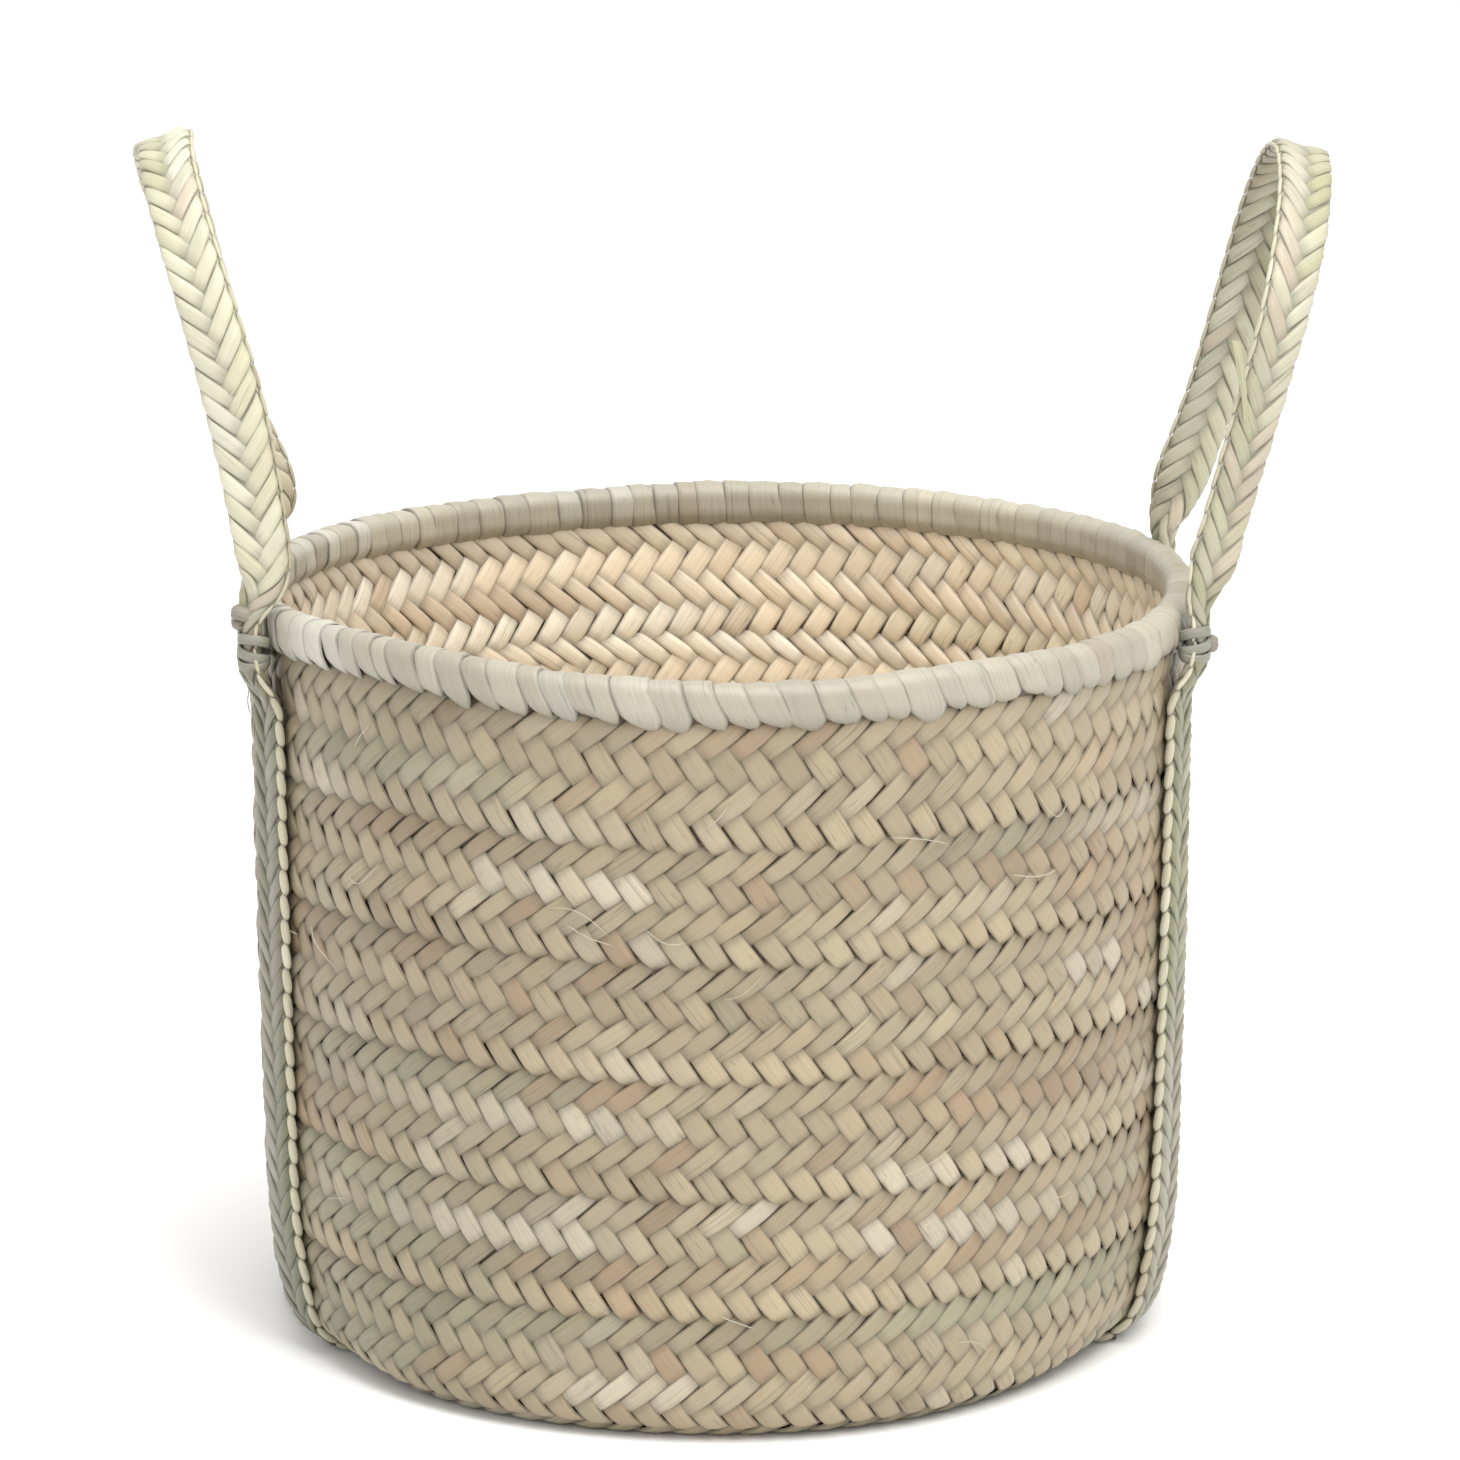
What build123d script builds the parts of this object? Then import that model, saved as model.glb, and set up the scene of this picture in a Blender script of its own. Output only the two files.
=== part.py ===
"""Round basket of plaited palm leaf with two plaited carrying handles.

One plait is coiled and sewn edge to edge: six turns make the wall, three turns and a folded
centre make the base.  A second, folded plait runs up the outside of the wall as four straps,
crosses under the base as two runs, and rises above the rim as two handles.  Each handle bends
where its legs leave the rim.

Frame: millimetres, +Z up, origin on the floor under the middle of the base.  The handles stand
at -X (left) and +X (right), and the front of the basket faces -Y.
"""
from build123d import *
import os
from math import atan2, cos, degrees, pi, radians, sin, sqrt, tan

# Coiled plait of the wall and base
plait_width = 37.9            # height of one turn, measured along the wall
plait_thickness = 4.0
wall_turns = 6
base_turns = 3
base_radius = 150.5           # outer face, where wall and floor lines would cross
wall_slope = 1.15             # degrees that the wall leans outwards
corner_radius = 12.0          # outer rounding between wall and base
last_wall_seam = 40.0         # degrees round that rounding where the wall's last turn ends
seam_cord = 1.6               # square cord that joins neighbouring turns

# Wrapped rim
rim_height = 13.0
rim_proud = 2.9               # how far the rim stands out from the wall, on each side
rim_rounding = 4.0
wrap_thickness = 1.2
wall_tongue = 6.0             # part of the top turn that is held inside the rim

# Straps down the wall and under the base
strap_width = 21.0
strap_thickness = 4.0
base_strap_width = 18.0
edging_width = 2.2            # sewing strand along the strap's outer edge
edging_thickness = 3.0

# Necks and lashings, where straps turn into handles
leg_half_spacing = 58.0
neck_width = 12.0
neck_thickness = 6.0
neck_taper = 10.0             # height over which a neck grows out of its strap
lashing_height = 6.0
lashing_thickness = 1.5
lashing_drop = 0.5            # gap between the lashing and the rim above it
knot_radius = 4.5
hinge_gap = 0.4               # play between a handle's foot and the pieces below it

# Handles
handle_rise = 141.0           # bend line to the top of the loop
handle_width = 19.0
handle_thickness = 5.0
handle_lean = 14.0            # degrees outwards at rest
leg_taper = 35.0              # length over which a leg turns from foot to full band
handle_seam_width = 2.0
handle_seam_height = 1.0

# Wall outline, from the slope and the corner rounding
slope = radians(wall_slope)
base_floor = strap_thickness
up_wall = Vector(sin(slope), cos(slope))
out_wall = Vector(cos(slope), -sin(slope))
tangent_length = corner_radius / tan((pi / 2 + slope) / 2)
corner_top = Vector(base_radius, base_floor) + up_wall * tangent_length
corner_center = Vector(base_radius - tangent_length, base_floor + corner_radius)
corner_run = corner_radius * (pi / 2 - slope)
corner_share = corner_radius * radians(last_wall_seam)
straight_run = wall_turns * plait_width - corner_share
wall_top = corner_top + up_wall * straight_run
corner_start = straight_run
corner_end = straight_run + corner_run
path_length = corner_end + corner_center.X

rim_outer = wall_top.X + rim_proud
rim_inner = wall_top.X - plait_thickness - rim_proud
rim_top = wall_top.Y + rim_height

# Bend line of the handles
foot_radius = neck_thickness / 2
neck_near_side = leg_half_spacing - neck_width / 2
rim_at_neck = sqrt(rim_outer ** 2 - neck_near_side ** 2)
hinge_x = rim_at_neck + hinge_gap + foot_radius
hinge_z = rim_top + hinge_gap + foot_radius
strap_angle = degrees(atan2(leg_half_spacing, hinge_x))
lashing_top = wall_top.Y - lashing_drop
strap_start = lashing_drop + lashing_height + lashing_drop


def path_point(run, offset):
    """Point at a distance run down the wall's outer face from its top, offset outwards."""
    if run <= corner_start:
        point = wall_top - up_wall * run
        outwards = out_wall
    elif run <= corner_end:
        turned = -slope - (run - corner_start) / corner_radius
        outwards = Vector(cos(turned), sin(turned))
        point = corner_center + outwards * corner_radius
    else:
        outwards = Vector(0, -1)
        point = Vector(corner_center.X - (run - corner_end), base_floor)
    return point + outwards * offset


def path_edges(runs, offset):
    """Lines and corner arcs through the given runs, at one offset."""
    edges = []
    for first, last in zip(runs, runs[1:]):
        ends = path_point(first, offset), path_point(last, offset)
        middle = (first + last) / 2
        if corner_start < middle < corner_end:
            edges.append(ThreePointArc(ends[0], path_point(middle, offset), ends[1]))
        else:
            edges.append(Line(*ends))
    return edges


def band_face(start, end, inner, outer):
    """Cut face of a band that follows the wall from start to end, between two offsets."""
    corners = [run for run in (corner_start, corner_end) if start < run < end]
    runs = [start] + corners + [end]
    outline = path_edges(runs, outer)
    outline.append(Line(path_point(end, outer), path_point(end, inner)))
    outline += path_edges(runs[::-1], inner)
    outline.append(Line(path_point(start, inner), path_point(start, outer)))
    return make_face(outline)


def cord_face(run):
    """Cut face of the seam cord in the middle of the plait's thickness."""
    half = seam_cord / 2
    middle = -plait_thickness / 2
    across = path_point(run, middle + half) - path_point(run, middle - half)
    along = Vector(-across.Y, across.X).normalized() * half
    low, high = path_point(run, middle - half), path_point(run, middle + half)
    return make_face(Polyline(low - along, high - along, high + along, low + along, close=True))


def ring(face, angle=360.0):
    """Turn a cut face, given as radius and height, round the basket's axis."""
    return revolve(Plane.XZ * face, Axis.Z, angle)


def seam_runs():
    """Runs of the seams between neighbouring turns, from the top down to the base centre."""
    wall = [plait_width * turn for turn in range(1, wall_turns + 1)]
    base = [wall[-1] + plait_width * turn for turn in range(1, base_turns + 1)]
    return wall + base


def plait_turn(start, end, cords):
    """One turn of the coil, with grooves for the cords in its edges."""
    face = band_face(start, end, -plait_thickness, 0)
    for run in cords:
        face -= cord_face(run)
    return ring(face)


def base_centre(start):
    """Folded middle of the base, a disc that fills the innermost turn."""
    disc = ring(band_face(start, path_length, -plait_thickness, 0))
    return disc - ring(cord_face(start))


def rim_face(inset):
    """Rounded cut face of the rim, taken in by inset."""
    width = rim_outer - rim_inner - 2 * inset
    height = rim_height - 2 * inset
    middle = Pos((rim_outer + rim_inner) / 2, wall_top.Y + rim_height / 2)
    return middle * RectangleRounded(width, height, rim_rounding - inset)


def rim_pieces():
    """Leaf bundle and the strip wound round it, both astride the top turn's edge."""
    tongue = band_face(-wall_tongue, wall_tongue, -plait_thickness, 0)
    core = rim_face(wrap_thickness) - tongue
    wrap = rim_face(0) - rim_face(wrap_thickness) - tongue
    return ring(core), ring(wrap)


def wall_sector(start, end, thickness, middle_angle, width_angle):
    """Piece of a band on the outside of the wall, spread over a few degrees."""
    sector = ring(band_face(start, end, 0, thickness), width_angle)
    return Rot(0, 0, middle_angle - width_angle / 2) * sector


def neck():
    """Squeezed upper end of the right rear strap, from the wall to below the bend line."""
    top = hinge_z - foot_radius - hinge_gap
    outer = hinge_x + foot_radius
    inner = hinge_x - foot_radius
    shoulder = wall_top.Y - strap_start
    strap_face = sqrt((wall_top.X + strap_thickness) ** 2 - leg_half_spacing ** 2)
    inside_wall = strap_face - 3 * strap_thickness
    side = Polyline(
        (inner, top),
        (outer, top),
        (outer, shoulder),
        (strap_face, shoulder - neck_taper),
        (inside_wall, shoulder - neck_taper),
        (inside_wall, lashing_top),
        (inner, lashing_top),
        close=True,
    )
    block = extrude(Plane.XZ * make_face(side), amount=neck_width / 2, both=True)
    wall_body = ring(band_face(0, corner_start, -wall_top.X / 2, 0))
    return Pos(0, leg_half_spacing, 0) * block - wall_body


def strap():
    """Right rear strap: along the wall, round the corner, with its neck at the top."""
    width_angle = degrees(strap_width / wall_top.X)
    return wall_sector(strap_start, corner_end, strap_thickness, strap_angle, width_angle) + neck()


def strap_edging():
    """Sewing strand along the edge of the right rear strap that faces away from the handle."""
    width_angle = degrees(edging_width / wall_top.X)
    middle = strap_angle + degrees(strap_width / wall_top.X) / 2 + width_angle / 2
    return wall_sector(strap_start, corner_end, edging_thickness, middle, width_angle) - neck()


def base_strap():
    """Rear strap run under the base, between the ends of the two wall straps."""
    height = strap_thickness / 2
    middle = corner_center.X * sin(radians(strap_angle))
    bar = Pos(0, middle, height) * Box(2 * base_radius, base_strap_width, strap_thickness)
    return bar & Pos(0, 0, height) * Cylinder(corner_center.X, strap_thickness)


def lashing():
    """Strand round the right rear neck, through the wall under the rim, with its knot."""
    near = leg_half_spacing + neck_width / 2 + lashing_thickness
    inside = sqrt((rim_inner + rim_proud) ** 2 - near ** 2)
    outside = hinge_x + foot_radius
    middle = Pos((inside + outside) / 2, leg_half_spacing, lashing_top - lashing_height / 2)
    border = 2 * lashing_thickness
    block = Box(outside - inside + border, neck_width + border, lashing_height)
    hole = Box(outside - inside, neck_width, lashing_height)
    knot = Pos(outside + knot_radius, leg_half_spacing, lashing_top - lashing_height / 2)
    return middle * (block - hole) + (knot * Sphere(knot_radius) - middle * hole)


def loop_face(thickness, bottom):
    """Inverted U of a handle, seen across the loop: two legs and a half-round top."""
    top = handle_rise - handle_thickness / 2 - leg_half_spacing
    wide = leg_half_spacing + thickness / 2
    slim = leg_half_spacing - thickness / 2
    return make_face(
        [
            Line((-wide, bottom), (-wide, top)),
            ThreePointArc((-wide, top), (0, top + wide), (wide, top)),
            Line((wide, top), (wide, bottom)),
            Line((wide, bottom), (slim, bottom)),
            Line((slim, bottom), (slim, top)),
            ThreePointArc((slim, top), (0, top + slim), (-slim, top)),
            Line((-slim, top), (-slim, bottom)),
            Line((-slim, bottom), (-wide, bottom)),
        ]
    )


def loop_plane():
    """Plane of the right loop: x along the basket's Y, y up the lean, z outwards."""
    lean = radians(handle_lean)
    return Plane((hinge_x, 0, hinge_z), x_dir=(0, 1, 0), z_dir=(cos(lean), 0, -sin(lean)))


def leg_section(side, height, along, across):
    """Level cut of a leg at a height above the bend line."""
    place = Pos(side * leg_half_spacing, height, 0) * Rot(-90, 0, 0)
    return loop_plane() * (place * Rectangle(along, across))


def handle():
    """Right handle: half-round loop, two tapering legs and their rounded feet."""
    solid = extrude(
        loop_plane() * loop_face(handle_thickness, leg_taper), amount=handle_width / 2, both=True
    )
    for side in (-1, 1):
        foot_cut = leg_section(side, 0, neck_width, neck_thickness)
        band_cut = leg_section(side, leg_taper, handle_thickness, handle_width)
        solid += loft([foot_cut, band_cut], ruled=True)
        foot_place = Pos(hinge_x, side * leg_half_spacing, hinge_z)
        solid += foot_place * Rot(90, 0, 0) * Cylinder(foot_radius, neck_width)
    return solid


def handle_seam():
    """Stitched edge of the right handle, on the side that faces the basket's middle."""
    face = loop_face(handle_seam_width, leg_taper)
    edge = loop_plane().offset(-handle_width / 2)
    return extrude(edge * face, amount=-handle_seam_height)


def four_corners(name, rear_right):
    """Copies of a right rear piece at all four straps."""
    return {
        f"{name}_right_rear": rear_right,
        f"{name}_right_front": mirror(rear_right, Plane.XZ),
        f"{name}_left_rear": mirror(rear_right, Plane.YZ),
        f"{name}_left_front": Rot(0, 0, 180) * rear_right,
    }


def coil_pieces():
    """Turns of the wall and base, the centre, and the cords between them."""
    seams = seam_runs()
    starts = [-wall_tongue] + seams[:-1]
    pieces = {}
    for index, (start, end) in enumerate(zip(starts, seams)):
        cords = [run for run in (start, end) if run in seams]
        on_wall = index < wall_turns
        name = f"wall_turn_{index + 1}" if on_wall else f"base_turn_{index + 1 - wall_turns}"
        pieces[name] = plait_turn(start, end, cords)
        pieces[f"seam_cord_{index + 1}"] = ring(cord_face(end))
    pieces["base_centre"] = base_centre(seams[-1])
    return pieces


def all_pieces():
    """Every piece of the basket by name."""
    pieces = coil_pieces()
    pieces["rim_core"], pieces["rim_wrap"] = rim_pieces()
    pieces.update(four_corners("strap", strap()))
    pieces.update(four_corners("strap_edging", strap_edging()))
    lashings = four_corners("lashing", lashing())
    for piece in lashings.values():
        pieces["wall_turn_1"] -= piece
    pieces.update(lashings)
    pieces["base_strap_rear"] = base_strap()
    pieces["base_strap_front"] = mirror(base_strap(), Plane.XZ)
    pieces["handle_right"] = handle()
    pieces["handle_left"] = mirror(handle(), Plane.YZ)
    pieces["handle_seam_right"] = handle_seam()
    pieces["handle_seam_left"] = mirror(handle_seam(), Plane.YZ)
    return pieces


os.makedirs("parts", exist_ok=True)
for piece_name, piece in all_pieces().items():
    export_step(piece, f"parts/{piece_name}.step")
    print(f"{piece_name}: {piece.volume:.0f} mm3")
print(f"rim top {rim_top:.1f}, bend line at x {hinge_x:.2f}, z {hinge_z:.2f}")
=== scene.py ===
# %% [markdown]
# # A plaited palm-leaf basket
# The basket is one long four-row plait of palm leaf, coiled and sewn edge to edge. This lesson
# builds its looks round a finished CAD frame: the frame gives every place and size, and each
# visible surface here is computed with numpy and laid exactly where the frame says.

# %% Load the frame
import math
import bpy
import numpy as np
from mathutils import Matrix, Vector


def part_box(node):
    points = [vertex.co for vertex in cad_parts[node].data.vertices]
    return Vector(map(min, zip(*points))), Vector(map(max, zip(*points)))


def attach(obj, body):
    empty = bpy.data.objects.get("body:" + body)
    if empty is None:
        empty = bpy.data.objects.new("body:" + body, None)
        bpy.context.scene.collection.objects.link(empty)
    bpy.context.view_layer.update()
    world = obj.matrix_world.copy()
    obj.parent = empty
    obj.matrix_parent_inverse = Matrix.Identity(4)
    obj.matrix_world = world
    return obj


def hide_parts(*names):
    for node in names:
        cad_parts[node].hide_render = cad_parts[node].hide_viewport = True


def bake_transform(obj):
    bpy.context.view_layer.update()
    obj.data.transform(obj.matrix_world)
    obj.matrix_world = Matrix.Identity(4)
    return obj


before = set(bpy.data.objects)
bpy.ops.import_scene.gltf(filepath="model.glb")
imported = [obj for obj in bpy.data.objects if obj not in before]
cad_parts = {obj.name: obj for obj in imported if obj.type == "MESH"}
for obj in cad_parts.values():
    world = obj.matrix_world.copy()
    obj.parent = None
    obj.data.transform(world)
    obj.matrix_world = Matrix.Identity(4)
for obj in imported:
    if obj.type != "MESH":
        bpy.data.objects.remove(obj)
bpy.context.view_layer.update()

mm = 0.001

# %% [markdown]
# ## The camera
# The basket is seen from its front, a little from above and from far enough away that its
# sides stay almost parallel. The camera comes first, so that every later step can be looked at.

# %% Place the camera
camera_distance = 2.065
camera_height = 0.687
camera_azimuth = math.radians(2.0)
camera_pitch = math.radians(13.4)
camera_heading = math.radians(-0.1)
camera_lens = 158.7

camera_data = bpy.data.cameras.new("camera")
camera_data.lens = camera_lens
camera_data.sensor_width = 36.0
camera = bpy.data.objects.new("camera", camera_data)
camera.location = (
    -camera_distance * math.sin(camera_azimuth),
    -camera_distance * math.cos(camera_azimuth),
    camera_height,
)
camera.rotation_euler = (math.pi / 2 - camera_pitch, 0, camera_heading - camera_azimuth)
bpy.context.scene.collection.objects.link(camera)
bpy.context.scene.camera = camera
print("camera at", [round(value, 3) for value in camera.location])

# %% [markdown]
# ## The wall's outline
# Every turn of the plait lies on one line: down the slightly sloping wall, round the bottom
# corner and in to the middle of the base. A place on the basket is then a run along that line,
# an angle round the axis and an offset outwards, which is how a weaver would measure it too.

# %% Sizes of the basket, in metres
plait_width = 37.9 * mm
plait_thickness = 4.0 * mm
wall_turns = 6
base_turns = 3
corner_radius = 12.0 * mm
wall_slope = math.radians(1.15)
last_wall_seam = math.radians(40.0)
strap_azimuth = math.radians(20.81)
rim_height = 13.0 * mm
rim_proud = 2.9 * mm
rim_bottom = float(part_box("rim_wrap")[1][2]) - rim_height
rim_outer = float(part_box("rim_wrap")[1][0])
wall_top_radius = rim_outer - rim_proud
straight_run = wall_turns * plait_width - corner_radius * last_wall_seam
corner_run = corner_radius * (math.pi / 2 - wall_slope)
corner_top = np.array([
    wall_top_radius - math.sin(wall_slope) * straight_run,
    rim_bottom - math.cos(wall_slope) * straight_run,
])
corner_center = corner_top - corner_radius * np.array([math.cos(wall_slope), -math.sin(wall_slope)])
path_length = straight_run + corner_run + corner_center[0]
print("run from the wall's top to the base's middle:", round(path_length, 4))


def wall_path(run, offset):
    """Radius and height at a run below the wall's top: a straight line, then the corner's arc
    turning at one radius, then a level line; the offset goes along the outward normal."""
    turned = np.clip((run - straight_run) / corner_radius, 0, math.pi / 2 - wall_slope)
    normal_r = np.cos(-wall_slope - turned)
    normal_z = np.sin(-wall_slope - turned)
    on_wall = np.minimum(run, straight_run)
    on_base = np.maximum(run - straight_run - corner_run, 0)
    arc_r = corner_radius * (normal_r - math.cos(wall_slope))
    arc_z = corner_radius * (normal_z + math.sin(wall_slope))
    radius = wall_top_radius - math.sin(wall_slope) * on_wall + arc_r - on_base
    height = rim_bottom - math.cos(wall_slope) * on_wall + arc_z
    return radius + normal_r * offset, height + normal_z * offset


# %% [markdown]
# ## A hand-made shape
# A plaited basket is never quite round: it stands a little wider where nothing pulls on it
# and its rim rises and falls. One smooth displacement bends everything alike, so that pieces
# that touch keep touching.

# %% The unevenness of the whole body
def smooth(value):
    """Smooth step from 0 to 1."""
    value = np.clip(value, 0, 1)
    return value * value * (3 - 2 * value)


def uneven(points):
    """Points moved by what hands and loads do to a soft basket: slow waves round the wall, a
    rim that rises and falls, a slight narrowing of the sides at the top, a bottom corner pulled
    in where each strap turns under the base, and a base that sags at the front and back.
    The waves are in millimetres and grow with the square of the distance from the axis."""
    x, y, z = points[..., 0], points[..., 1], points[..., 2]
    angle = np.arctan2(y, x)
    level = np.clip(z / rim_bottom, 0, 1.05)
    radius = np.hypot(x, y)
    share = np.clip(radius / wall_top_radius, 0, 1) ** 2
    beside_strap = np.abs(np.abs(angle) - math.pi / 2) - (math.pi / 2 - strap_azimuth)
    from_strap = beside_strap / math.radians(20)
    pull = np.exp(-from_strap ** 2) * np.clip(1 - z / (48 * mm), 0, 1) ** 1.5
    side = np.cos(angle) ** 2
    swell = (
        0.7 * np.sin(3 * angle + 0.6)
        + 0.5 * np.sin(5 * angle + 2.1 + 2.0 * level)
        + 0.9 * np.sin(math.pi * level) * np.sin(2 * angle + 1.3)
        - 1.6 * level * side
        - (7.2 - 0.6 * np.cos(angle)) * pull
        - 4.0 * np.exp(-((angle + 0.75) / 0.35) ** 2) * np.clip(1 - z / (60 * mm), 0, 1)
    )
    lift = level ** 2 * (
        0.9 * np.sin(2 * angle + 0.4)
        + 0.5 * np.sin(5 * angle + 1.0)
        + 1.6 * np.exp(-((angle + 2.35) / 0.35) ** 2)
        - 1.2 * np.exp(-((angle + 1.45) / 0.25) ** 2)
    )
    sag = 3.3 * smooth((np.abs(y) - 62 * mm) / (42 * mm)) * np.clip(1 - z / (150 * mm), 0, 1) ** 2
    outwards = mm * swell * share
    moved = points.copy()
    moved[..., 0] += outwards * np.cos(angle)
    moved[..., 1] += outwards * np.sin(angle)
    moved[..., 2] += mm * (lift * share - sag * np.clip(1 - pull, 0, 1))
    return moved


def round_the_axis(radius, height, angle):
    """Points at a radius, height and angle about the basket's axis, made slightly uneven."""
    radius, height, angle = np.broadcast_arrays(radius, height, angle)
    return uneven(np.stack([radius * np.cos(angle), radius * np.sin(angle), height], axis=-1))


# %% [markdown]
# ## Leaf strips as patches
# What the eye sees of a plait are short pieces of strip, each passing over two others before
# it dives under. In a herringbone, the strips lean one way in one row and the other way in
# the next. The rows fit together like roof tiles: each piece spans three levels of a lattice
# and every row starts two levels below the last.

# %% Cut a herringbone into patches
def herringbone(levels, count, pitch, fall_shift, first_row_rises):
    """Four corners of every visible strip piece, as arrays of place along and level across.

    A strip that falls moves fall_shift of a pitch sideways from one level to the next, and a
    rising strip moves the rest of the pitch the other way, so the pieces meet without gaps.
    Corners are in the order start-near, start-far, end-near, end-far."""
    levels = np.asarray(levels)
    fall = fall_shift * pitch
    rise = pitch - fall
    rows = (len(levels) - 2) // 2
    pieces = []
    for row in range(rows):
        top = 2 * row
        x = np.arange(count) * pitch + fall * top
        y = levels[top:top + 4]
        rises = (row % 2 == 0) == first_row_rises
        if rises:
            corners = [
                (x - 2 * rise, y[2]), (x - 2 * rise + fall, y[3]), (x, y[0]), (x + fall, y[1]),
            ]
        else:
            corners = [
                (x - rise, y[1]), (x, y[0]), (x - rise + 2 * fall, y[3]), (x + 2 * fall, y[2]),
            ]
        row_corners = np.array([[cx, np.full(count, cy)] for cx, cy in corners])
        pieces.append((row, rises, row_corners.transpose(2, 0, 1)))
    return pieces


along_steps = np.array([-0.10, 0.0, 0.14, 0.36, 0.62, 0.86, 1.0, 1.10])
across_steps = np.array([-0.02, 0.035, 0.30, 0.70, 0.965, 1.02])


def patch_points(corners, random, jitter):
    """Grid of places over each strip piece, by blending its four corners, with every corner
    shifted a little at random."""
    wobble = random.normal(0, jitter, corners.shape)
    c = corners + wobble
    t = along_steps[None, :, None, None]
    w = across_steps[None, None, :, None]
    near = (1 - t) * c[:, None, None, 0] + t * c[:, None, None, 2]
    far = (1 - t) * c[:, None, None, 1] + t * c[:, None, None, 3]
    return (1 - w) * near + w * far


def patch_height(count, random, arch, crown):
    """Height of each strip piece over the weave: a half wave along it, highest past its middle
    and dipping under at both ends, less a crown that falls to the edges, plus its own tilt."""
    t = along_steps[None, :, None]
    w = across_steps[None, None, :]
    rise = arch * (np.sin(math.pi * np.clip(t, 0, 1) ** 1.2) - 0.5)
    tucked = np.where((t < 0) | (t > 1), -0.5 * mm, 0)
    edge = -crown * (0.55 * np.abs(2 * w - 1) ** 2 + 0.6 * np.abs(2 * w - 1) ** 7)
    skirt = np.where((w < 0) | (w > 1), -0.35 * mm, 0)
    tilt = random.normal(0, 0.09 * mm, (count, 1, 1)) * (2 * w - 1)
    tilt = tilt + random.normal(0, 0.07 * mm, (count, 1, 1)) * (2 * t - 1)
    lift = random.normal(0, 0.06 * mm, (count, 1, 1))
    return rise + tucked + edge + skirt + tilt + lift


print("one strip piece has", (len(along_steps) - 1) * (len(across_steps) - 1), "faces")

# %% [markdown]
# ## From arrays to a mesh
# A mesh here is a list of grids. Each grid carries three things for its material: a map that
# runs along the leaf's fibres in centimetres, a map that says where in the strip piece a point
# is, and a tint that gives each piece of leaf its own tone and hue and, in its alpha, painted light and
# shade.

# %% Mesh helpers
class Sheet:
    """Grids of points collected for one mesh, with what their material needs."""

    def __init__(self):
        self.points, self.quads, self.grain, self.place, self.tint = [], [], [], [], []
        self.total = 0

    def add(self, points, grain, place, tint, flip=False):
        """Add an array of grids shaped (grids, rows, columns, 3) with matching maps."""
        grids, rows, columns = points.shape[:3]
        index = np.arange(grids * rows * columns).reshape(grids, rows, columns) + self.total
        a, b = index[:, :-1, :-1], index[:, 1:, :-1]
        c, d = index[:, 1:, 1:], index[:, :-1, 1:]
        order = (a, d, c, b) if flip else (a, b, c, d)
        self.quads.append(np.stack(order, axis=-1).reshape(-1, 4))
        self.points.append(points.reshape(-1, 3))
        self.grain.append(np.broadcast_to(grain, (grids, rows, columns, 2)).reshape(-1, 2))
        self.place.append(np.broadcast_to(place, (grids, rows, columns, 2)).reshape(-1, 2))
        self.tint.append(np.broadcast_to(tint, (grids, rows, columns, 4)).reshape(-1, 4))
        self.total += grids * rows * columns

    def build(self, name, material):
        """Write the collected grids into one smooth mesh object with its material."""
        points, quads = np.concatenate(self.points), np.concatenate(self.quads)
        mesh = bpy.data.meshes.new(name)
        mesh.vertices.add(len(points))
        mesh.vertices.foreach_set("co", points.astype(np.float32).ravel())
        mesh.loops.add(quads.size)
        mesh.loops.foreach_set("vertex_index", quads.astype(np.int32).ravel())
        mesh.polygons.add(len(quads))
        mesh.polygons.foreach_set("loop_start", np.arange(0, quads.size, 4, dtype=np.int32))
        mesh.polygons.foreach_set("loop_total", np.full(len(quads), 4, dtype=np.int32))
        mesh.polygons.foreach_set("use_smooth", np.ones(len(quads), dtype=bool))
        for title, values in (("grain", self.grain), ("place", self.place)):
            layer = mesh.uv_layers.new(name=title)
            loops = np.concatenate(values)[quads.ravel()]
            layer.data.foreach_set("uv", loops.astype(np.float32).ravel())
        tint = mesh.attributes.new("tint", "FLOAT_COLOR", "POINT")
        tint.data.foreach_set("color", np.concatenate(self.tint).astype(np.float32).ravel())
        mesh.update(calc_edges=True)
        mesh.materials.append(material)
        piece = bpy.data.objects.new(name, mesh)
        bpy.context.scene.collection.objects.link(piece)
        print(f"{name}: {len(quads) * 2} triangles")
        return piece


def place_piece(sheet, name, material, slot, *stands_for):
    """Build a sheet as a piece that rides on the basket and stands for nodes; slot is not used."""
    piece = sheet.build(name, material)
    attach(piece, "basket")
    if stands_for:
        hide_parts(*stands_for)


def leaf_maps(count, length, width, random):
    """Fibre map, in centimetres, and place map of a set of strip pieces; each piece reads its
    own spot of the fibre pattern."""
    t = along_steps[None, :, None] + np.zeros((count, 1, len(across_steps)))
    w = across_steps[None, None, :] + np.zeros((count, len(along_steps), 1))
    spot = random.uniform(0, 50, (count, 1, 1, 2))
    grain = np.stack([t * length * 100, w * width * 100], axis=-1) + spot
    return grain, np.stack([t, w], axis=-1)


# %% [markdown]
# ## Palm leaf as a material
# Dried palm leaf is matt with a faint wax gloss along its ribs. Its colour wanders from grey
# beige to straw, pink-brown and a trace of green, strip by strip. The same recipe serves the
# wall, the rim and the handles, so it is a node group with its palette as inputs.

# %% The leaf node group
def socket(group, name, kind, way, value=None):
    """Add one named socket to a node group."""
    item = group.interface.new_socket(name=name, in_out=way, socket_type=kind)
    if value is not None:
        item.default_value = value
    return item


def node(tree, kind, **settings):
    """Add a node and set its plain properties."""
    made = tree.nodes.new(kind)
    for key, value in settings.items():
        setattr(made, key, value)
    return made


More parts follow.
